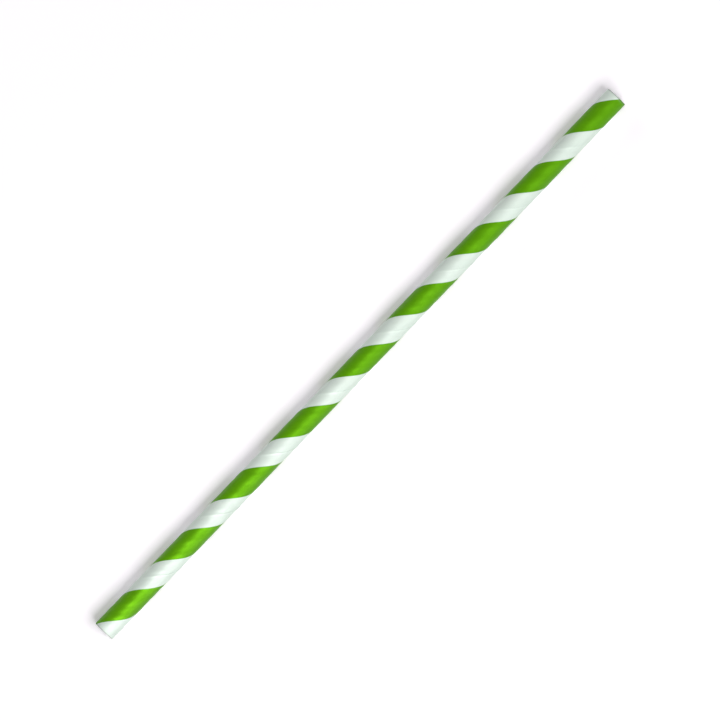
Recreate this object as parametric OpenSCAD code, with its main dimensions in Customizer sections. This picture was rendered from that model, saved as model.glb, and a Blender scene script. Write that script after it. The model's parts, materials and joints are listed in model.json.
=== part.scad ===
// Paper drinking straw with a printed spiral stripe, lying on a table.
// The straw is one glued tube, wound at a slant from strips of paper. The outer strip
// laps over its own edge once a turn, which leaves a low spiral seam, and it carries one
// printed stripe. The tube lies along X, centred on the origin, and the surface under it
// is Z = 0. The winding is right-handed about +X. A place is a distance from the -X end,
// measured along the tube's top line.

/* [Tube] */
// Length between the two cut ends
straw_length = 197; // [80:1:260]
// Outside diameter between the turns of the seam
outer_diameter = 6.2; // [4.5:0.1:8]
// Thickness of the glued layers of paper
wall = 0.4; // [0.3:0.05:0.8]

/* [Cut ends] */
// Depth to which the knife presses the outer edge in
rim_depth = 0.1; // [0.05:0.01:0.15]
// Length of the pressed edge
rim_length = 0.3; // [0.1:0.05:1]

/* [Winding] */
// Length of tube that one turn of the strip covers
turn_pitch = 22.5; // [14:0.5:40]
// Place of the seam's free edge
seam_place = 20.7; // [0:0.1:40]
// Width of the lapped edge, measured along the tube
seam_width = 0.9; // [0.6:0.1:2]
// Part of that width over which the strip climbs onto the lap
seam_ramp = 0.4; // [0.2:0.05:0.5]
// Height of the lap above the rest of the tube
seam_height = 0.1; // [0.06:0.01:0.15]

/* [Print] */
// Place of the stripe's first edge
stripe_place = 4.2; // [0:0.1:40]
// Share of each turn that the stripe covers
stripe_share = 0.5; // [0.2:0.05:0.7]
// Thickness of the ink
ink_film = 0.01; // [0.01:0.005:0.02]

/* [Hidden] */
$fn = 96;

// Straight chords in one turn of a wound band, an even number
TURN_CHORDS = 16;
// How far the trimming shapes reach past what they trim
SPARE = 0.3;
// How far below the pressed rim the ink's shell starts, and the bands below that
FOOTING = 0.05;

outer_radius = outer_diameter / 2;
bore_radius = outer_radius - wall;
crest_radius = outer_radius + seam_height;
shell_foot = outer_radius - rim_depth - FOOTING;
band_foot = shell_foot - FOOTING;
ink_radius = outer_radius + ink_film;
// The straw lies on its seam, which is made of chords, on the middle of one at each turn.
// A seam too low for that leaves it on its ink.
axis_height = max(crest_radius * cos(180 / TURN_CHORDS), ink_radius);

PAPER = [0.93, 0.97, 0.94];
INK = [0.41, 0.66, 0.08];

// Lays a shape that was made along Z on the table, along X and centred on the origin.
// Its -X side becomes the top.
module lay_down() {
    translate([-straw_length / 2, 0, axis_height])
        rotate([0, 90, 0])
            children();
}

// A round sleeve from radius inner to radius outer. A cone presses in both of its ends,
// as deep as the knife does at a surface of radius skin.
module sleeve(inner, outer, skin) {
    cone_length = rim_length / rim_depth * (outer - skin + rim_depth);
    rotate_extrude()
        polygon([
            [inner, 0],
            [skin - rim_depth, 0],
            [outer, cone_length],
            [outer, straw_length - cone_length],
            [skin - rim_depth, straw_length],
            [inner, straw_length],
        ]);
}

// The point that a corner [radius, place] of a band reaches at a number of turns from
// the top line
function wound(corner, turns) = [
    -corner[0] * cos(360 * turns),
    -corner[0] * sin(360 * turns),
    corner[1] + turn_pitch * turns,
];

// A band wound round the tube and past both of its ends. The corners of its section are
// [radius, place] pairs, in order round the section. Half a chord lies on each side of
// the top line, and so of the line that the straw rests on.
module band(corners) {
    places = [for (corner = corners) corner[1]];
    first = floor(-max(places) / turn_pitch * TURN_CHORDS) - 1;
    last = ceil((straw_length - min(places)) / turn_pitch * TURN_CHORDS);
    count = len(corners);
    points = [
        for (ring = [first:last], corner = corners)
            wound(corner, (ring + 1 / 2) / TURN_CHORDS)
    ];
    first_cap = [for (i = [count - 1:-1:0]) i];
    last_cap = [for (i = [0:count - 1]) (last - first) * count + i];
    sides = [
        for (ring = [0:last - first - 1], i = [0:count - 1])
            let (here = ring * count, next = (i + 1) % count)
                [here + i, here + next, here + count + next, here + count + i]
    ];
    polyhedron(points, concat([first_cap, last_cap], sides));
}

// The lapped edge of the outer strip: a ramp, then the lap, then a sharp free edge
module seam() {
    foot = seam_place - seam_width;
    buried = (outer_radius - band_foot) * seam_ramp / seam_height;
    intersection() {
        sleeve(bore_radius, crest_radius + SPARE, crest_radius);
        band([
            [band_foot, foot - buried],
            [crest_radius, foot + seam_ramp],
            [crest_radius, seam_place],
            [band_foot, seam_place],
        ]);
    }
}

// The printed stripe
module stripe() {
    far_edge = stripe_place + stripe_share * turn_pitch;
    intersection() {
        sleeve(shell_foot, ink_radius, ink_radius);
        band([
            [band_foot, stripe_place],
            [ink_radius + SPARE, stripe_place],
            [ink_radius + SPARE, far_edge],
            [band_foot, far_edge],
        ]);
    }
}

// The whole straw: the glued tube with its seam, and the ink on it
module straw() {
    lay_down() {
        color(PAPER) {
            sleeve(bore_radius, outer_radius, outer_radius);
            seam();
        }
        color(INK)
            stripe();
    }
}

straw();
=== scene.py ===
"""The look of a paper drinking straw with a printed spiral stripe, in a pale studio.

The straw is one closed surface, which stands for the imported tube. Its outside is a strip
wound round the tube, worked out along and across the strip, so that the lap seam and the
edges of the stripe fall on lines of the mesh. Sizes are in millimetres and places along
the straw are distances from its -X end, measured on its top line. An angle turns about +X
from the top line towards -Y, the way in which the strip is wound.
"""

import json
import logging
import math
from dataclasses import dataclass
from enum import IntEnum

import bpy
import numpy as np
from mathutils import Matrix, Vector


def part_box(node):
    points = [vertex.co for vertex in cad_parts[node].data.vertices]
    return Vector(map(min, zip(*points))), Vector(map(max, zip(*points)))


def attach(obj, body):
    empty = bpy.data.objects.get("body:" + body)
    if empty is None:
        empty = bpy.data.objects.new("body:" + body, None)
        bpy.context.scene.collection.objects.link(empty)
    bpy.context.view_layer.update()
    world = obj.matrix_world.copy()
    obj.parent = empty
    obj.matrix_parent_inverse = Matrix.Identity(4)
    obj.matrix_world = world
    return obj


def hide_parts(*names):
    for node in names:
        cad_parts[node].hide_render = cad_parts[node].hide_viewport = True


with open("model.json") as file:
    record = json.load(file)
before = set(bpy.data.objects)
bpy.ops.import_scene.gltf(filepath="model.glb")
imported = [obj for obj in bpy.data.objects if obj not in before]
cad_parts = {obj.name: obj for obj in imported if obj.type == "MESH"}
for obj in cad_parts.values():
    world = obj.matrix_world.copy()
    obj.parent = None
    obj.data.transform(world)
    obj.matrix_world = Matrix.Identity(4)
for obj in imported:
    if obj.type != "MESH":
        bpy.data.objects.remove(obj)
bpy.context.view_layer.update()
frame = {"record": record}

MM = 0.001
STRIP_MAP = "strip"
BAKE_MAP = "OFBake"
# Share of a turn by which rounding may miss a whole turn
ROUNDING = 1e-9

log = logging.getLogger("straw")

Socket = bpy.types.NodeSocket
Colour = tuple[float, float, float]
Point = tuple[float, float, float]
Inputs = dict[str | int, object]


class Face(IntEnum):
    """What a face of the straw is made of, in the order of its material slots."""

    BARE_PAPER = 0
    INK = 1
    LAP_EDGE = 2
    PRESSED_RIM = 3
    CUT_LAYERS = 4
    BORE = 5


def smooth(value: np.ndarray) -> np.ndarray:
    """A soft step from 0 to 1: three times the square less twice the cube.

    Args:
        value: How far along the step each entry is; outside 0 to 1 it is held.

    Returns:
        The height of the step at each entry.
    """
    held = np.clip(value, 0, 1)
    return held * held * (3 - 2 * held)


@dataclass
class Patch:
    """Part of the straw's surface, kept corner by corner.

    A face has four corners. Two neighbours may be the same point, and it is then a
    triangle. Each corner has its place on the strip and its place in the export's square,
    and each face says what it is made of.
    """

    points: np.ndarray
    corners: np.ndarray
    strip: np.ndarray
    bake: np.ndarray
    faces: np.ndarray

    @staticmethod
    def joined(patches: list["Patch"], points: np.ndarray) -> "Patch":
        """One patch from several that share one list of points.

        Args:
            patches: The patches, whose corners count in that list.
            points: All the points.

        Returns:
            The joined patch.
        """
        parts = ([p.corners, p.strip, p.bake, p.faces] for p in patches)
        return Patch(points, *(np.concatenate(part) for part in zip(*parts)))

    def mesh(self, name: str) -> bpy.types.Mesh:
        """The patch as a mesh with its two UV maps and the material of each face.

        A corner that repeats the one before it is left out, and so is a face that keeps
        fewer than three corners.

        Args:
            name: The mesh's name.

        Returns:
            The new mesh.
        """
        kept = self.corners != np.roll(self.corners, 1, axis=1)
        whole = kept.sum(axis=1) > 2
        kept &= whole[:, None]
        count = kept.sum(axis=1)[whole]
        used, numbers = np.unique(self.corners[kept], return_inverse=True)

        mesh = bpy.data.meshes.new(name)
        mesh.vertices.add(len(used))
        mesh.vertices.foreach_set("co", (self.points[used] * MM).ravel())
        mesh.loops.add(len(numbers))
        mesh.loops.foreach_set("vertex_index", numbers.ravel().astype(np.int32))
        mesh.polygons.add(len(count))
        starts = np.concatenate([[0], np.cumsum(count)[:-1]])
        mesh.polygons.foreach_set("loop_start", starts.astype(np.int32))
        mesh.polygons.foreach_set("material_index", self.faces[whole].astype(np.int32))
        mesh.polygons.foreach_set("use_smooth", np.ones(len(count), bool))
        for title, values in ((STRIP_MAP, self.strip), (BAKE_MAP, self.bake)):
            layer = mesh.uv_layers.new(name=title)
            layer.data.foreach_set("uv", values[kept].astype(np.float32).ravel())
        mesh.update(calc_edges=True)
        mesh.validate()
        return mesh


@dataclass
class Winding:
    """The outer strip: how it is wound, where it laps itself and where it is printed.

    A row is a distance from the strip's free edge, measured along the straw.
    """

    pitch: float = 22.5
    # Place of the free edge
    seam_place: float = 20.7
    lap_width: float = 0.9
    # Part of the lap's width over which it climbs
    lap_ramp: float = 0.75
    lap_height: float = 0.065
    # Row up to which the settled paper has finer mesh lines
    settled: float = 1.5
    settled_depth: float = 0.024
    # Reach of the quick and of the slow decay
    settled_reach: tuple[float, float] = (0.35, 2.5)
    # Rows of the stripe's edges
    stripe_from: float = 5.75
    stripe_to: float = 17.5
    # Row of the joint of the layer below
    inner_seam: float = 19.75
    inner_seam_width: float = 0.6
    inner_seam_depth: float = 0.012
    # Mesh lines in each span between the stops of rows()
    lines: tuple[int, ...] = (8, 9, 24, 9, 6, 2)

    def rows(self) -> np.ndarray:
        """Rows of the mesh lines, which run along the strip.

        Returns:
            The rows, from the free edge to the next turn's free edge.
        """
        stripe, foot = (self.stripe_from, self.stripe_to), self.pitch - self.lap_width
        stops = (0, self.settled, *stripe, foot, foot + self.lap_ramp, self.pitch)
        spans = zip(stops[:-1], stops[1:], self.lines)
        parts = [np.linspace(a, b, n, endpoint=False) for a, b, n in spans]
        return np.concatenate([*parts, [self.pitch]])

    def relief(self, row: np.ndarray) -> np.ndarray:
        """Height of the strip over the plain tube.

        A soft ramp climbs onto the lap, which stays level up to the free edge of the next
        turn. Beyond a free edge the paper has settled: the difference of a quick and a
        slow decay. A shallow groove, a bell curve across, shows the joint of the layer
        below.

        Args:
            row: The rows to read it at.

        Returns:
            The heights.
        """
        climb = (row - self.pitch + self.lap_width) / self.lap_ramp
        quick, slow = (np.exp(-row / reach) for reach in self.settled_reach)
        groove = np.exp(-(((row - self.inner_seam) / self.inner_seam_width) ** 2))
        lap = self.lap_height * smooth(climb)
        return lap + self.settled_depth * (quick - slow) - self.inner_seam_depth * groove


@dataclass
class BakeSheet:
    """Where the straw's surface lies in the square that the export bakes to.

    The outside is unrolled and cut across into tiles that lie below each other. Under them
    lies the lap's edge, one thin row for each tile, and then the cut ends and the bore in
    one row. Lengths are millimetres of the sheet.
    """

    length: float
    girth: float
    tiles: int = 3
    gap: float = 0.8
    # Height of a row of the lap's edge, and of the row of the ends and the bore
    edge_row: float = 0.6
    bore_row: float = 5.0

    def tile_length(self) -> float:
        """Length of the straw on one tile."""
        return self.length / self.tiles

    def placed(self, right: np.ndarray, down: np.ndarray) -> np.ndarray:
        """Places on the sheet as shares of the square's side.

        The side is the longer of a tile's length and all the rows' height, with a gap all
        round.

        Args:
            right: Distances from the sheet's left edge, less the gap.
            down: Distances from its upper edge, less the gap.

        Returns:
            The places, with a last axis of two.
        """
        rows = self.tiles * (self.girth + self.edge_row + 2 * self.gap)
        side = max(self.tile_length(), rows + self.bore_row) + 2 * self.gap
        return np.stack([right + self.gap, side - self.gap - down], axis=-1) / side

    def tiled(self, place: np.ndarray) -> tuple[np.ndarray, np.ndarray]:
        """The tile of each face and how far along it the face's corners are.

        Args:
            place: Places along the straw, face by face.

        Returns:
            Each face's tile, and the distances from that tile's start.
        """
        middle = place.mean(axis=1, keepdims=True)
        tile = np.clip(np.floor(middle / self.tile_length()), 0, self.tiles - 1)
        return tile, place - tile * self.tile_length()

    def outside(self, place: np.ndarray, turned: np.ndarray) -> np.ndarray:
        """Where faces of the outside lie.

        Args:
            place: Places along the straw of their corners.
            turned: Their angles as shares of a turn, running on within a face.

        Returns:
            The places in the square.
        """
        tile, right = self.tiled(place)
        return self.placed(right, tile * (self.girth + self.gap) + turned * self.girth)

    def lap_edge(self, place: np.ndarray, rise: np.ndarray) -> np.ndarray:
        """Where faces of the lap's edge lie.

        Args:
            place: Places along the straw of their corners.
            rise: How far up the edge they are, 0 to 1.

        Returns:
            The places in the square.
        """
        tile, right = self.tiled(place)
        start = self.tiles * (self.girth + self.gap) + tile * (self.edge_row + self.gap)
        return self.placed(right, start + rise * self.edge_row)

    def inside(self, run: np.ndarray, turned: np.ndarray) -> np.ndarray:
        """Where faces of the cut ends and the bore lie.

        Args:
            run: How far they are from one end's outer edge to the other's, 0 to 1.
            turned: Their angles as shares of a turn, running on within a face.

        Returns:
            The places in the square.
        """
        start = self.tiles * (self.girth + self.edge_row + 2 * self.gap)
        return self.placed(run * self.tile_length(), start + turned * self.bore_row)


@dataclass
class Cockle:
    """How far the glued paper is from a true round tube."""

    seed: int = 7
    # The waves round the tube: how many, and the height of each
    waves: int = 14
    height: float = 0.006
    # Fewest and most lobes of a wave, and the lengths along the straw of one wave
    lobes: tuple[int, int] = (2, 5)
    longest: float = 120.0
    shortest: float = 9.0
    # The ripples along the strip: how many, their slope, their widths, and the lengths
    # in which one drifts by its own width
    ripples: int = 9
    ripple_slope: float = 0.009
    ripple_wide: tuple[float, float] = (1.8, 6.0)
    ripple_long: tuple[float, float] = (90.0, 400.0)

    def rippled(self, row: np.ndarray, place: np.ndarray) -> np.ndarray:
        """Low ripples that run along the strip: a sum of cosine waves across it.

        A wave's height follows from its slope and its width, and its crest drifts slowly
        across the strip on the way along the straw.

        Args:
            row: Distances from the strip's free edge.
            place: Places along the straw.

        Returns:
            How far the strip stands out at each of them.
        """
        draw = np.random.default_rng(self.seed + 1)
        (narrow, wide), (near, far) = self.ripple_wide, self.ripple_long
        width = narrow * (wide / narrow) ** draw.random(self.ripples)
        drift = draw.choice((-1, 1), self.ripples) / draw.uniform(near, far, self.ripples)
        start = draw.uniform(0, 1, self.ripples)
        turned = row[..., None] / width + drift * place[..., None] + start
        height = self.ripple_slope * width / (2 * math.pi)
        return (height * np.cos(2 * math.pi * turned)).sum(axis=-1)

    def height_at(self, place: np.ndarray, angle: np.ndarray) -> np.ndarray:
        """A sum of cosine waves, each with a whole number of lobes round the tube.

        Args:
            place: Places along the straw.
            angle: Angles round it, in radians.

        Returns:
            How far the surface stands out at each of them.
        """
        draw = np.random.default_rng(self.seed)
        few, many = self.lobes
        lobes = draw.integers(few, many + 1, self.waves)
        length = self.shortest * (self.longest / self.shortest) ** draw.random(self.waves)
        lean = draw.choice((-1, 1), self.waves) * 2 * math.pi / length
        start = draw.uniform(0, 2 * math.pi, self.waves)
        turned = lobes * angle[..., None] + lean * place[..., None] + start
        return self.height * np.cos(turned).sum(axis=-1)


@dataclass
class Straw:
    """The whole straw: the wound outside, both cut ends and the bore, as one surface."""

    winding: Winding
    cockle: Cockle
    length: float
    axis_height: float
    outer_radius: float = 3.1
    bore_radius: float = 2.7
    # The pressed rim, the plain rings beyond it, and its bend as shares of its length
    rim_depth: float = 0.1
    rim_length: float = 0.3
    rim_steps: tuple[float, ...] = (0.3, 0.15, 0.0)
    bend_steps: tuple[float, ...] = (0.75, 0.5, 0.28, 0.12)
    bend_power: float = 1.6
    # Length over which the lap rises out of the rings at each end
    lap_fade: float = 0.8
    # The cut layers and the notch between two: steps in their thickness, shares of its depth
    layers: int = 3
    layer_groove: float = 0.025
    notch: tuple[tuple[float, float], ...] = ((0.16, 0.1), (0.0, 1.0), (-0.16, 0.1))
    # The lip that the knife leaves in the bore: distances from the end, shares of the lip
    bore_lip: float = 0.03
    lip_steps: tuple[tuple[float, float], ...] = ((0.01, 1.0), (0.15, 1 / 3), (0.5, 0.0))
    bore_rings: int = 60
    # Mesh columns round the tube, and the angle in degrees from which an edge is sharp
    columns: int = 120
    sharp_from: float = 28.0
    # How much wider than true the cut layers lie on the sheet for the export
    cut_room: float = 12.0

    def turn_length(self) -> float:
        """Length of the strip in one turn, by Pythagoras from the pitch and the girth."""
        return math.hypot(self.winding.pitch, self.girth())

    def girth(self) -> float:
        """Distance once round the outside."""
        return 2 * math.pi * self.outer_radius

    def ring_zone(self) -> float:
        """Distance from a cut end over which the mesh is rings, not helices."""
        return self.rim_length + self.rim_steps[0]

    def sheet(self) -> BakeSheet:
        """The layout of the straw's surface for the export."""
        return BakeSheet(self.length, self.girth())

    def from_end(self, place: np.ndarray) -> np.ndarray:
        """Distance of each place from the nearer cut end."""
        return np.minimum(place, self.length - place)

    def points(self, place: np.ndarray, angle: np.ndarray, radius: np.ndarray) -> np.ndarray:
        """Points in the row frame from places, angles and radii.

        The angle starts at the top and turns towards -Y. What would reach under the
        surface that the straw lies on is pressed flat against it.

        Args:
            place: Places along the straw.
            angle: Angles round it, in radians.
            radius: Distances from its axis.

        Returns:
            The points, with a last axis of three.
        """
        up = self.axis_height + radius * np.cos(angle)
        across = -radius * np.sin(angle)
        return np.stack([place - self.length / 2, across, np.maximum(up, 0)], axis=-1)

    def strip_place(self, place: np.ndarray, total: np.ndarray) -> np.ndarray:
        """Where points of the outside lie on the unwound strip.

        In the unrolled surface the strip runs one pitch along for each girth round. The
        distance along it is the part of a point's step in that direction, and the
        distance across it the part at right angles.

        Args:
            place: Places along the straw.
            total: Angles wound since the start, in radians, whole turns included.

        Returns:
            Distances along and across the strip, with a last axis of two.
        """
        turn, pitch = self.turn_length(), self.winding.pitch
        arc = self.outer_radius * total
        from_seam = place - self.winding.seam_place
        along = (from_seam * pitch + arc * self.girth()) / turn
        across = (from_seam * self.girth() - arc * pitch) / turn
        return np.stack([along, across], axis=-1)

    def ring(self, place: float, radius: float) -> np.ndarray:
        """One ring of points round the straw.

        Args:
            place: Its place along the straw.
            radius: Its radius.

        Returns:
            The points, one for each column.
        """
        angle = 2 * math.pi * np.arange(self.columns) / self.columns
        places = np.full(self.columns, place)
        wave = self.cockle.height_at(places, angle)
        return self.points(places, angle, radius + wave)

    def outside(self) -> Patch:
        """The wound outside between the two ring zones.

        A line of the mesh is a helix: its place is the seam's, plus one pitch a turn, plus
        its own distance from the free edge. The last line of a turn and the first line of
        the next lie over each other, and the wall between them is the free edge of the
        lap. A point beyond a ring zone's border is the border ring's own point.

        Returns:
            The patch. Its first points are the border ring at -X, then the one at +X.
        """
        wind, columns = self.winding, self.columns
        low, high = self.ring_zone(), self.length - self.ring_zone()
        first = (math.floor((low - wind.seam_place) / wind.pitch) - 1) * columns
        last = math.ceil((high - wind.seam_place) / wind.pitch) * columns
        step = np.arange(first, last + 1)[:, None]
        row = wind.rows()[None, :]
        total = 2 * math.pi * step / columns
        place = wind.seam_place + wind.pitch * step / columns + row
        held = np.clip(place, low, high)
        fade = smooth((self.from_end(held) - low) / self.lap_fade)
        angle = np.broadcast_to(total, place.shape)
        wave = self.cockle.height_at(held, angle)
        raised = wind.relief(row) + self.cockle.rippled(row, held)
        radius = self.outer_radius + wave + fade * raised
        numbers = 2 * columns + np.arange(place.size).reshape(place.shape)
        numbers = np.where(place <= low, step % columns, numbers)
        numbers = np.where(place >= high, columns + step % columns, numbers)

        def corners(grid: np.ndarray) -> np.ndarray:
            """Gives each face its corners' values: first the sheet's, then the lap wall's.

            Args:
                grid: Values by step and row.

            Returns:
                Four values for each face.
            """
            sheet = (grid[:-1, :-1], grid[1:, :-1], grid[1:, 1:], grid[:-1, 1:])
            upper, lower = grid[:-columns, -1], grid[columns:, 0]
            wall = (upper[:-1], upper[1:], lower[1:], lower[:-1])
            parts = [np.stack(part, -1).reshape(-1, 4) for part in (sheet, wall)]
            return np.concatenate(parts)

        middle = (row[:, :-1] + row[:, 1:]) / 2
        printed = (middle > wind.stripe_from) & (middle < wind.stripe_to)
        kinds = np.where(printed, Face.INK, Face.BARE_PAPER)
        sheet_faces = np.tile(kinds.ravel(), len(step) - 1)
        walls = np.full(len(step) - 1 - columns, Face.LAP_EDGE)
        spot = corners(held)
        wound = corners(angle)
        on_wall = slice(len(sheet_faces), None)
        wound[on_wall, 2:] = wound[on_wall, 1::-1]
        strip = self.strip_place(spot, wound)
        strip[on_wall, 2:, 1] += wind.lap_height
        turned = wound / (2 * math.pi)
        turned -= np.floor(turned.min(axis=1, keepdims=True) + ROUNDING)
        sheet = self.sheet()
        bake = sheet.outside(spot, turned)
        rise = np.broadcast_to([1.0, 1.0, 0.0, 0.0], spot[on_wall].shape)
        bake[on_wall] = sheet.lap_edge(spot[on_wall], rise)
        rings = (self.ring(low, self.outer_radius), self.ring(high, self.outer_radius))
        return Patch(
            np.concatenate([*rings, self.points(held, angle, radius).reshape(-1, 3)]),
            corners(numbers),
            strip,
            bake,
            np.concatenate([sheet_faces, walls]),
        )

    def end_profile(self) -> list[tuple[float, float, Face]]:
        """The section from a ring zone's border over the cut edge to the bore.

        The pressed rim drops by its depth times a power of how far along it a ring is. The
        cut is flat but for a notch between two layers, and the bore starts with a lip.

        Returns:
            Distances from the cut end, radii, and what the face that follows each is.
        """
        skin = self.outer_radius
        profile = [(self.rim_length + gap, skin, Face.PRESSED_RIM) for gap in self.rim_steps]
        bent = np.array(self.bend_steps)
        pressed = skin - self.rim_depth * (1 - bent) ** self.bend_power
        profile += [(d, r, Face.PRESSED_RIM) for d, r in zip(self.rim_length * bent, pressed)]
        edge = skin - self.rim_depth
        thick = (edge - self.bore_radius + self.bore_lip) / self.layers
        profile.append((0.0, edge, Face.CUT_LAYERS))
        for joint in range(1, self.layers):
            middle = edge - joint * thick
            for step, depth in self.notch:
                radius = middle + step * thick
                profile.append((self.layer_groove * depth, radius, Face.CUT_LAYERS))
        for gap, share in self.lip_steps:
            profile.append((gap, self.bore_radius - share * self.bore_lip, Face.BORE))
        return profile

    def ends_and_bore(self, first_point: int) -> Patch:
        """Both pressed and cut ends and the bore, turned from one profile.

        The profile runs from the border ring at +X over the cut end, back through the
        bore and over the other cut end to the border ring at -X. A point's place and
        radius are the profile's, and its angle is the column's.

        Args:
            first_point: The number of this patch's first own point.

        Returns:
            The patch, whose first and last rings are the outside's border rings.
        """
        gaps, edges, kinds = (np.array(part) for part in zip(*self.end_profile()))
        bore = np.linspace(self.length, 0, self.bore_rings + 2)[1:-1]
        places = np.concatenate([self.length - gaps, bore, gaps[::-1]])
        radii = np.concatenate([edges, np.full(len(bore), self.bore_radius), edges[::-1]])
        faces = np.concatenate([kinds, np.full(len(bore), Face.BORE), kinds[-2::-1]])
        rings = np.stack([self.ring(p, r) for p, r in zip(places, radii)])

        count, columns = len(places), self.columns
        column = np.arange(columns)
        after = (column + 1) % columns
        numbers = first_point + np.arange((count - 2) * columns).reshape(-1, columns)
        numbers = np.concatenate([column[None] + columns, numbers, column[None]])
        this, following = numbers[:-1], numbers[1:]
        corners = np.stack([this, this[:, after], following[:, after], following], axis=-1)
        corners = corners.reshape(-1, 4)
        spot = np.stack([places[:-1], places[:-1], places[1:], places[1:]], axis=-1)
        spot = np.repeat(spot, columns, axis=0)
        turned = np.stack([column, column + 1, column + 1, column], axis=-1) / columns
        turned = np.tile(turned, (count - 1, 1))
        kind = np.repeat(faces, columns)

        phase = (spot.mean(1) - self.winding.seam_place) / self.winding.pitch
        turns = np.floor(phase - turned.mean(1))
        wound = 2 * math.pi * (turned + turns[:, None])
        step = np.hypot(np.diff(places), np.diff(radii))
        # The rim lies with the outside on the sheet, so it takes no room beside the bore
        rooms = {Face.PRESSED_RIM: 0, Face.CUT_LAYERS: self.cut_room, Face.BORE: 1}
        room = [rooms[face] for face in faces]

        def along(steps: np.ndarray) -> np.ndarray:
            """How far along the profile each face's corners are, from its steps' lengths."""
            run = np.concatenate([[0], np.cumsum(steps)])
            return np.repeat(np.stack([run[:-1], run[:-1], run[1:], run[1:]], -1), columns, 0)

        on_rim = (kind == Face.PRESSED_RIM)[:, None, None]
        inner = np.stack([along(step), turned * 2 * math.pi * self.bore_radius], axis=-1)
        strip = np.where(on_rim, self.strip_place(spot, wound), inner)
        laid = along(step * room)
        sheet = self.sheet()
        bake = sheet.inside(laid / laid.max(), turned)
        bake = np.where(on_rim, sheet.outside(spot, turned), bake)
        return Patch(rings[1:-1].reshape(-1, 3), corners, strip, bake, kind)

    def build(self) -> bpy.types.Object:
        """The straw as one object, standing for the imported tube.

        Returns:
            The object, still without its finishes.
        """
        outside = self.outside()
        inside = self.ends_and_bore(len(outside.points))
        points = np.concatenate([outside.points, inside.points])
        mesh = Patch.joined([outside, inside], points).mesh("straw_paper")
        mesh.set_sharp_from_angle(angle=math.radians(self.sharp_from))
        straw = bpy.data.objects.new("straw_paper", mesh)
        bpy.context.scene.collection.objects.link(straw)
        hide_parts("straw")
        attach(straw, "root")
        return straw

    def dress(self, straw: bpy.types.Object) -> None:
        """Gives each kind of face its finish.

        Args:
            straw: The object that build() made.
        """
        share = self.girth() / self.turn_length()
        stripe = (self.winding.stripe_from * share, self.winding.stripe_to * share)
        lap = (self.winding.pitch - self.winding.lap_width) * share
        finishes = {
            Face.BARE_PAPER: BarePaper(lap_from=lap),
            Face.INK: PrintedInk(stripe=stripe),
            Face.LAP_EDGE: CutPaper(title="lap edge"),
            Face.PRESSED_RIM: PressedRim(stripe=stripe, cut_place=self.length / 2),
            Face.CUT_LAYERS: CutPaper(title="cut layers"),
            Face.BORE: BorePaper(),
        }
        for face in Face:
            straw.data.materials.append(finishes[face].material())


@dataclass(frozen=True)
class Noise:
    """A noise texture: its scale, and how many finer layers it has and how strong."""

    scale: float
    detail: float
    rough: float


class Graph:
    """A node tree that is being drawn."""

    def __init__(self, tree: bpy.types.NodeTree) -> None:
        """Empties the tree of a material, a world or a group, and keeps it."""
        self.tree = tree
        tree.nodes.clear()

    def node(
        self, kind: str, inputs: Inputs | None = None, **settings: object
    ) -> bpy.types.Node:
        """Adds a node.

        Args:
            kind: The node's type, without its ShaderNode prefix.
            inputs: Values or sockets for its inputs, by name or number.
            **settings: Its own properties.

        Returns:
            The node.
        """
        prefix = "" if kind.startswith("NodeGroup") else "ShaderNode"
        made = self.tree.nodes.new(prefix + kind)
        for name, value in settings.items():
            setattr(made, name, value)
        for name, value in (inputs or {}).items():
            self.feed(made.inputs[name], value)
        return made

    def feed(self, socket: Socket, value: object) -> None:
        """Links a socket to an input, or sets the input's own value.

        Args:
            socket: The input.
            value: A socket, a number, or a colour of three numbers.
        """
        if isinstance(value, bpy.types.NodeSocket):
            self.tree.links.new(value, socket)
        elif isinstance(value, tuple) and len(value) == 3 and socket.type == "RGBA":
            socket.default_value = (*value, 1)
        else:
            socket.default_value = value

    def maths(self, operation: str, *values: object) -> Socket:
        """The output of a Math node, which has sockets or numbers as its inputs."""
        made = self.node("Math", dict(enumerate(values)), operation=operation)
        return made.outputs[0]

    def noise(self, vector: Socket, kind: Noise) -> Socket:
        """The value, about 0 to 1, of a noise texture that is read at the vector."""
        settings = {"Scale": kind.scale, "Detail": kind.detail, "Roughness": kind.rough}
        return self.node("TexNoise", {"Vector": vector, **settings}).outputs[0]

    def blend(self, share: object, first: object, second: object) -> Socket:
        """Mixes two colours.

        Args:
            share: How much of the second, a socket or a number.
            first: The first colour.
            second: The second colour.

        Returns:
            The mixed colour.
        """
        # Of a Mix node's sockets, 0 is the share, 6 and 7 the colours and output 2 the mix
        made = self.node("Mix", data_type="RGBA")
        for number, value in ((0, share), (6, first), (7, second)):
            self.feed(made.inputs[number], value)
        return made.outputs[2]

    def ramp(self, value: Socket, low: float, high: float) -> Socket:
        """A soft step in a value.

        Args:
            value: The value.
            low: Where the step starts, at 0.
            high: Where it ends, at 1.

        Returns:
            The step's height, held at 0 and 1 beyond it.
        """
        inputs = {"Value": value, "From Min": low, "From Max": high}
        made = self.node("MapRange", inputs, interpolation_type="SMOOTHSTEP")
        return made.outputs[0]


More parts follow.
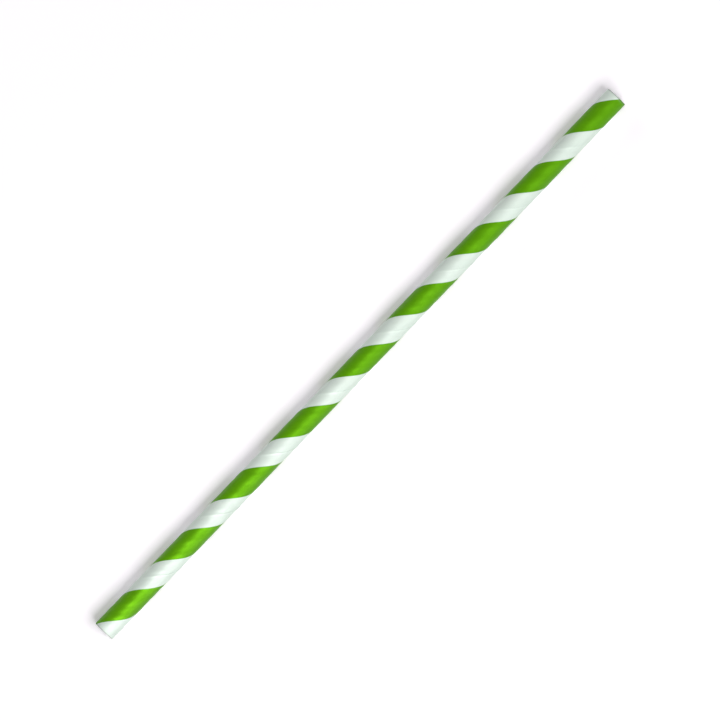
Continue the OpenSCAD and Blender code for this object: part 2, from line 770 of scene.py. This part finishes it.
@dataclass(frozen=True)
class Group:
    """A shader group that several finishes use, built once."""

    title: str = ""
    # Its inputs, with the value of a number and None for a vector, and its outputs
    takes: tuple[tuple[str, float | None], ...] = ()
    gives: tuple[str, ...] = ()

    def draw(self, graph: Graph, inside: bpy.types.Node) -> dict[str, Socket]:
        """Draws the group's nodes.

        Args:
            graph: The group's own tree.
            inside: Its Group Input node.

        Returns:
            The socket for each output, by name.
        """
        raise NotImplementedError

    def tree(self) -> bpy.types.NodeTree:
        """The group's tree, made the first time that it is asked for.

        Returns:
            The tree.
        """
        if self.title in bpy.data.node_groups:
            return bpy.data.node_groups[self.title]
        tree = bpy.data.node_groups.new(self.title, "ShaderNodeTree")
        number, vector = "NodeSocketFloat", "NodeSocketVector"
        for name, value in self.takes:
            kind = vector if value is None else number
            made = tree.interface.new_socket(name=name, in_out="INPUT", socket_type=kind)
            if value is not None:
                made.default_value = value
        for name in self.gives:
            tree.interface.new_socket(name=name, in_out="OUTPUT", socket_type=number)
        graph = Graph(tree)
        given = self.draw(graph, graph.node("NodeGroupInput"))
        graph.node("NodeGroupOutput", given)
        return tree

    def placed(self, graph: Graph, inputs: Inputs) -> bpy.types.Node:
        """The group's node, placed in a material with its own inputs."""
        return graph.node("Group", inputs, node_tree=self.tree())


@dataclass(frozen=True)
class FibreGroup(Group):
    """Paper fibres, which lie mostly along the strip, and the cloudy way they settle."""

    title: str = "paper fibres"
    takes: tuple = (
        ("Place", None),
        ("Fibre Length", 1.2),
        ("Fibre Width", 0.07),
        ("Swell", 0.0),
    )
    gives: tuple = ("Cloud", "Streak", "Height")
    fibre: Noise = Noise(1.0, 3.0, 0.6)
    cloud: Noise = Noise(0.625, 4.0, 0.55)
    grain: Noise = Noise(9.0, 2.0, 0.6)
    grain_share: float = 0.5

    def draw(self, graph: Graph, inside: bpy.types.Node) -> dict[str, Socket]:
        """Draws long noise along the strip for the fibres and round noise for the cloud.

        The height is the fibres', plus a share of a fine grain's, plus the cloud's times
        Swell.

        Args:
            graph: The group's own tree.
            inside: Its Group Input node.

        Returns:
            Cloud and Streak, each about 0 to 1, and Height.
        """
        place = inside.outputs["Place"]
        part = graph.node("SeparateXYZ", {0: place})
        across = graph.maths("DIVIDE", part.outputs[1], inside.outputs["Fibre Width"])
        along = graph.maths("DIVIDE", part.outputs[0], inside.outputs["Fibre Length"])
        laid = graph.node("CombineXYZ", {0: along, 1: across, 2: part.outputs[2]})
        streak = graph.noise(laid.outputs[0], self.fibre)
        cloud = graph.noise(place, self.cloud)
        grain = graph.noise(place, self.grain)
        height = graph.maths("MULTIPLY_ADD", grain, self.grain_share, streak)
        height = graph.maths("MULTIPLY_ADD", cloud, inside.outputs["Swell"], height)
        return {"Cloud": cloud, "Streak": streak, "Height": height}


@dataclass(frozen=True)
class StripeGroup(Group):
    """Where the stripe's ink lies, with the slightly uneven edge that a press leaves."""

    title: str = "printed band"
    takes: tuple = (("Place", None), ("From", 0.0), ("To", 1.0))
    gives: tuple = ("Ink",)
    edge: Noise = Noise(7.0, 3.0, 0.5)
    # How far the noise moves the edge, its value where it doesn't, and half the softness
    uneven: float = 0.05
    edge_level: float = 0.6
    edge_soft: float = 0.012

    def draw(self, graph: Graph, inside: bpy.types.Node) -> dict[str, Socket]:
        """Draws how far a place is inside the stripe, moved a little by fine noise.

        Args:
            graph: The group's own tree.
            inside: Its Group Input node.

        Returns:
            Ink, 0 on bare paper and 1 on the stripe.
        """
        across = graph.node("SeparateXYZ", {0: inside.outputs["Place"]}).outputs[1]
        after = graph.maths("SUBTRACT", across, inside.outputs["From"])
        before = graph.maths("SUBTRACT", inside.outputs["To"], across)
        inset = graph.maths("MINIMUM", after, before)
        fine = graph.noise(inside.outputs["Place"], self.edge)
        fine = graph.maths("SUBTRACT", fine, self.edge_level)
        moved = graph.maths("MULTIPLY_ADD", fine, self.uneven, inset)
        return {"Ink": graph.ramp(moved, -self.edge_soft, self.edge_soft)}


@dataclass(frozen=True, kw_only=True)
class Finish:
    """A finish of the straw: a colour, a sheen and the paper's fibres.

    A depth is the largest share of a colour that a pattern takes away. Lengths and
    heights are millimetres.
    """

    title: str
    paper: Colour = (0.73, 0.856, 0.757)
    ink: Colour = (0.096, 0.312, 0.003)
    roughness: float
    # What the cloud adds to the roughness
    roughened: float = 0.0
    specular: float
    tint: Colour = (1.0, 1.0, 1.0)
    fibre_length: float = 1.2
    fibre_width: float = 0.07
    # How much of the cloud is in the height, and what a height of 1 is
    swell: float = 0.0
    bump: float = 0.005
    cloud_depth: float = 0.0
    streak_depth: float

    def material(self) -> bpy.types.Material:
        """Makes the material and draws its nodes.

        Returns:
            The new material.
        """
        made = bpy.data.materials.new(self.title)
        made.use_nodes = True
        graph = Graph(made.node_tree)
        place = graph.node("UVMap", uv_map=STRIP_MAP).outputs[0]
        laid = {
            "Place": place,
            "Fibre Length": self.fibre_length,
            "Fibre Width": self.fibre_width,
            "Swell": self.swell,
        }
        fibres = FibreGroup().placed(graph, laid)
        cloud, height = fibres.outputs["Cloud"], fibres.outputs["Height"]
        rough = self.roughness
        if self.roughened:
            rough = graph.maths("MULTIPLY_ADD", cloud, self.roughened, rough)
        bump = {"Strength": 1.0, "Distance": self.bump * MM, "Height": height}
        inputs = {
            "Base Color": self.colour(graph, place, fibres),
            "Roughness": rough,
            "Specular IOR Level": self.specular,
            "Specular Tint": self.tint,
            "Normal": graph.node("Bump", bump).outputs[0],
        }
        shader = graph.node("BsdfPrincipled", inputs)
        graph.node("OutputMaterial", {0: shader.outputs[0]})
        return made

    def colour(self, graph: Graph, place: Socket, fibres: bpy.types.Node) -> Socket:
        """Draws the colour, which is plain paper unless a finish draws its own.

        Args:
            graph: The material's tree.
            place: Where a point is on the strip, along and across it.
            fibres: The fibre group's node.

        Returns:
            The colour.
        """
        return self.fibred(graph, self.paper, fibres)

    def fibred(self, graph: Graph, colour: object, fibres: bpy.types.Node) -> Socket:
        """A colour with the fibres' cloud and streaks in it.

        Args:
            graph: The material's tree.
            colour: The colour, or its socket.
            fibres: The fibre group's node.

        Returns:
            The new colour.
        """
        if self.cloud_depth:
            colour = self.toned(graph, colour, fibres.outputs["Cloud"], self.cloud_depth)
        return self.toned(graph, colour, fibres.outputs["Streak"], self.streak_depth)

    def toned(self, graph: Graph, colour: object, value: Socket, depth: float) -> Socket:
        """A colour darkened where a value is low.

        Args:
            graph: The material's tree.
            colour: The colour, or its socket.
            value: The value, about 0 to 1.
            depth: The largest share of the colour that is lost.

        Returns:
            The new colour.
        """
        lost = graph.maths("MULTIPLY_ADD", value, -depth, depth)
        return graph.blend(lost, colour, (0.0, 0.0, 0.0))


@dataclass(frozen=True, kw_only=True)
class BarePaper(Finish):
    """Smooth white machine-made paper, as the outer strip has between its stripes.

    It is whiter on the lap, where two layers lie over the one below, and by painted highlight.
    """

    title: str = "outer paper"
    lap_from: float
    lap_soft: float = 0.25
    # Depth by which a single layer is darker than the lap, partly a painted highlight
    lap_paper_and_highlight_depth: float = 0.034
    roughness: float = 0.5
    roughened: float = 0.12
    specular: float = 0.56
    swell: float = 14.0
    bump: float = 0.004
    cloud_depth: float = 0.05
    streak_depth: float = 0.05

    def colour(self, graph: Graph, place: Socket, fibres: bpy.types.Node) -> Socket:
        """Draws the paper: the lap with a painted highlight, fibres along the strip and a
        faint cloud.

        Args:
            graph: The material's tree.
            place: Where a point is on the strip.
            fibres: The fibre group's node.

        Returns:
            The colour.
        """
        across = graph.node("SeparateXYZ", {0: place}).outputs[1]
        # Lighter on the lap: the doubled paper, and a painted highlight of the seam's ramp
        lap_paper_and_highlight = graph.ramp(across, self.lap_from, self.lap_from + self.lap_soft)
        colour = self.toned(graph, self.paper, lap_paper_and_highlight, self.lap_paper_and_highlight_depth)
        return self.fibred(graph, colour, fibres)


@dataclass(frozen=True, kw_only=True)
class Printed(Finish):
    """A finish that an edge of the stripe can run through."""

    stripe: tuple[float, float]

    def printed(self, graph: Graph, place: Socket, ink: object) -> Socket:
        """Ink inside the stripe and paper outside it.

        Args:
            graph: The material's tree.
            place: Where a point is on the strip.
            ink: The ink's colour, or its socket.

        Returns:
            The colour.
        """
        edges = {"Place": place, "From": self.stripe[0], "To": self.stripe[1]}
        band = StripeGroup().placed(graph, edges)
        return graph.blend(band.outputs["Ink"], self.paper, ink)


@dataclass(frozen=True, kw_only=True)
class PrintedInk(Printed):
    """The printed stripe: a thin film of green ink with a soft green sheen."""

    title: str = "printed stripe"
    roughness: float = 0.42
    roughened: float = 0.1
    specular: float = 0.5
    tint: Colour = (0.36, 1.0, 0.03)
    swell: float = 18.0
    bump: float = 0.0027
    cloud_depth: float = 0.16
    streak_depth: float = 0.08

    def colour(self, graph: Graph, place: Socket, fibres: bpy.types.Node) -> Socket:
        """Draws the ink, which is a little cloudy and shows paper at its uneven edge."""
        return self.printed(graph, place, self.fibred(graph, self.ink, fibres))


@dataclass(frozen=True, kw_only=True)
class PressedRim(Printed):
    """The outside next to a cut end, pressed in by the knife, printed where the stripe is."""

    title: str = "pressed rim"
    # Distance of the cut ends from the straw's middle
    cut_place: float
    # Painted shade on the rim: how far from the cut it reaches, and how deep it is
    rim_shade_length: float = 0.45
    rim_shade_depth: float = 0.45
    roughness: float = 0.6
    specular: float = 0.4
    streak_depth: float = 0.12

    def colour(self, graph: Graph, place: Socket, fibres: bpy.types.Node) -> Socket:
        """Draws paper or ink as the stripe has it, with painted shade darkening it near the
        cut.

        Args:
            graph: The material's tree.
            place: Where a point is on the strip.
            fibres: The fibre group's node.

        Returns:
            The colour.
        """
        colour = self.printed(graph, place, self.ink)
        # Painted shade, darker towards each cut end
        where = graph.node("TexCoord").outputs["Object"]
        along = graph.node("SeparateXYZ", {0: where}).outputs[0]
        from_middle = graph.maths("ABSOLUTE", along)
        rim_shade_end = self.cut_place - self.rim_shade_length
        rim_unshaded = graph.ramp(from_middle, self.cut_place * MM, rim_shade_end * MM)
        colour = self.toned(graph, colour, rim_unshaded, self.rim_shade_depth)
        return self.fibred(graph, colour, fibres)


@dataclass(frozen=True, kw_only=True)
class CutPaper(Finish):
    """A raw cut through the paper: rough, a little darker, with loose fibres on end."""

    roughness: float = 0.85
    specular: float = 0.25
    fibre_length: float = 0.12
    fibre_width: float = 0.05
    bump: float = 0.013
    streak_depth: float = 0.35


@dataclass(frozen=True, kw_only=True)
class BorePaper(Finish):
    """The plain inner paper of the bore."""

    title: str = "bore paper"
    roughness: float = 0.7
    specular: float = 0.3
    streak_depth: float = 0.08


@dataclass
class Softbox:
    """A rectangular studio lamp. Places are in metres."""

    name: str
    place: Point
    size: tuple[float, float]
    watts: float
    # Whether it shades surfaces, and whether it shows as sheen on them
    diffuse: bool = True
    glossy: bool = True
    # The point that it faces
    faces: Point = (0.0, 0.0, 0.0)
    colour: Colour = (1.0, 1.0, 1.0)

    def build(self) -> None:
        """Makes the lamp.

        It shines along its own -Z, so its +Z points away from what it faces. Its first side
        is +X less the part of +X that runs along that.
        """
        data = bpy.data.lights.new(self.name, "AREA")
        data.shape = "RECTANGLE"
        data.size, data.size_y = self.size
        data.energy = self.watts
        data.color = self.colour
        lamp = bpy.data.objects.new(self.name, data)
        back = (Vector(self.place) - Vector(self.faces)).normalized()
        side = Vector((1, 0, 0)) - back * back.x
        side.normalize()
        turned = Matrix((side, back.cross(side), back)).transposed().to_4x4()
        lamp.matrix_world = Matrix.Translation(self.place) @ turned
        lamp.visible_diffuse = self.diffuse
        lamp.visible_glossy = self.glossy
        bpy.context.scene.collection.objects.link(lamp)


@dataclass
class Studio:
    """A pale floor, the lamps, a white world all round and the camera over the straw."""

    # Height in millimetres of the straw's axis over the floor
    straw_height: float
    floor_size: float = 1.5
    floor_colour: Colour = (0.98, 0.94, 0.985)
    floor_glow: float = 0.205
    # Metres from the straw's axis to the camera, and millimetres framed at that axis
    camera_height: float = 2.0
    framed: float = 191.45
    # The direction in the row frame that is right in the picture
    right: tuple[float, float] = (0.69222, -0.72169)
    # Millimetres by which the camera stands right of and above the origin
    shifted: tuple[float, float] = (-0.066, 1.052)
    sensor: float = 36.0
    clip: tuple[float, float] = (0.01, 20.0)

    def seen(self, graph: Graph) -> Socket:
        """Tells the rays that see the background from those that only light.

        Args:
            graph: The tree of the background's material or of the world.

        Returns:
            1 for camera, glossy and transmission rays, and 0 for all others.
        """
        path = graph.node("LightPath")
        seen = path.outputs["Is Camera Ray"]
        for kind in ("Is Glossy Ray", "Is Transmission Ray"):
            seen = graph.maths("MAXIMUM", seen, path.outputs[kind])
        return seen

    def build_sky(self) -> None:
        """Makes a world that is seen and reflected as white and gives no light itself."""
        world = bpy.data.worlds.new("studio sky")
        bpy.context.scene.world = world
        world.use_nodes = True
        graph = Graph(world.node_tree)
        white = {"Color": (1.0, 1.0, 1.0), "Strength": self.seen(graph)}
        light = graph.node("Background", white)
        graph.node("OutputWorld", {0: light.outputs[0]})

    def build_floor(self) -> None:
        """Makes the floor: a flat square that takes the shadow and looks white."""
        reach = self.floor_size / 2
        ways = ((-1, -1), (1, -1), (1, 1), (-1, 1))
        mesh = bpy.data.meshes.new("floor")
        mesh.from_pydata([(x * reach, y * reach, 0) for x, y in ways], [], [(0, 1, 2, 3)])
        material = bpy.data.materials.new("floor")
        material.use_nodes = True
        graph = Graph(material.node_tree)
        glow = graph.maths("MULTIPLY", self.seen(graph), self.floor_glow)
        inputs = {
            "Base Color": self.floor_colour,
            "Roughness": 1.0,
            "Specular IOR Level": 0.0,
            "Emission Color": (1.0, 1.0, 1.0),
            "Emission Strength": glow,
        }
        shader = graph.node("BsdfPrincipled", inputs)
        graph.node("OutputMaterial", {0: shader.outputs[0]})
        mesh.materials.append(material)
        floor = bpy.data.objects.new("floor", mesh)
        bpy.context.scene.collection.objects.link(floor)

    def build_camera(self) -> None:
        """Makes the camera, which looks straight down with the straw slanting up the frame.

        The lens follows from the width framed at the straw's height: sensor width times
        distance over framed width.
        """
        data = bpy.data.cameras.new("camera")
        data.sensor_width = self.sensor
        data.lens = self.sensor * self.camera_height / (self.framed * MM)
        data.clip_start, data.clip_end = self.clip
        camera = bpy.data.objects.new("camera", data)
        right = Vector((*self.right, 0)).normalized()
        up = Vector((0, 0, 1)).cross(right)
        turned = Matrix((right, up, Vector((0, 0, 1)))).transposed().to_4x4()
        place = (right * self.shifted[0] + up * self.shifted[1]) * MM
        place.z = self.straw_height * MM + self.camera_height
        camera.matrix_world = Matrix.Translation(place) @ turned
        bpy.context.scene.collection.objects.link(camera)
        bpy.context.scene.camera = camera

    def build(self, lamps: list[Softbox]) -> None:
        """Makes the whole studio.

        Args:
            lamps: The lamps.
        """
        bpy.context.scene.view_settings.view_transform = "Standard"
        self.build_sky()
        self.build_floor()
        self.build_camera()
        for lamp in lamps:
            lamp.build()


def studio_lamps() -> list[Softbox]:
    """The lamps: three that only shade and three that only give sheen.

    A photographer parts shade from sheen with polarising film on the lamps. Here glossy
    rays don't see a shading lamp, and diffuse rays don't see a sheen lamp.

    Returns:
        The lamps, still to be built.
    """
    shade, sheen = {"glossy": False}, {"diffuse": False, "size": (0.2, 0.35)}
    fill = {"colour": (1.0, 0.965, 0.995), **shade}
    key_faces, top_faces = (-0.3, 0.0, 0.0), (0.0, 0.2, 0.0)
    return [
        Softbox("key lamp", (-0.08, -0.63, 0.91), (0.88, 0.6), 11.0, faces=key_faces, **shade),
        Softbox("top lamp", (0.0, 0.2, 1.3), (1.0, 1.0), 3.5, faces=top_faces, **fill),
        Softbox("low fill lamp", (0.0, 0.75, 0.3), (0.6, 0.35), 1.85, **fill),
        Softbox("steep gloss lamp", (-0.3, -0.13, 0.72), watts=10.7, **sheen),
        Softbox("gloss lamp", (-0.4, -0.36, 0.6), watts=14.9, **sheen),
        Softbox("low gloss lamp", (-0.3, -0.67, 0.3), watts=6.2, **sheen),
    ]


def report(piece: bpy.types.Object) -> None:
    """Logs a piece's name and how many faces it has."""
    log.info("%s: %d faces", piece.name, len(piece.data.polygons))


def main() -> None:
    """Builds the straw and the studio."""
    logging.basicConfig(level=logging.INFO, format="%(name)s: %(message)s")
    low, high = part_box("straw")
    length = (high.x - low.x) / MM
    axis_height = frame["record"]["mounts"][0]["pos_m"][2] / MM
    maker = Straw(Winding(), Cockle(), length, axis_height)
    straw = maker.build()
    maker.dress(straw)
    report(straw)
    Studio(axis_height).build(studio_lamps())


if __name__ == "__main__":
    main()
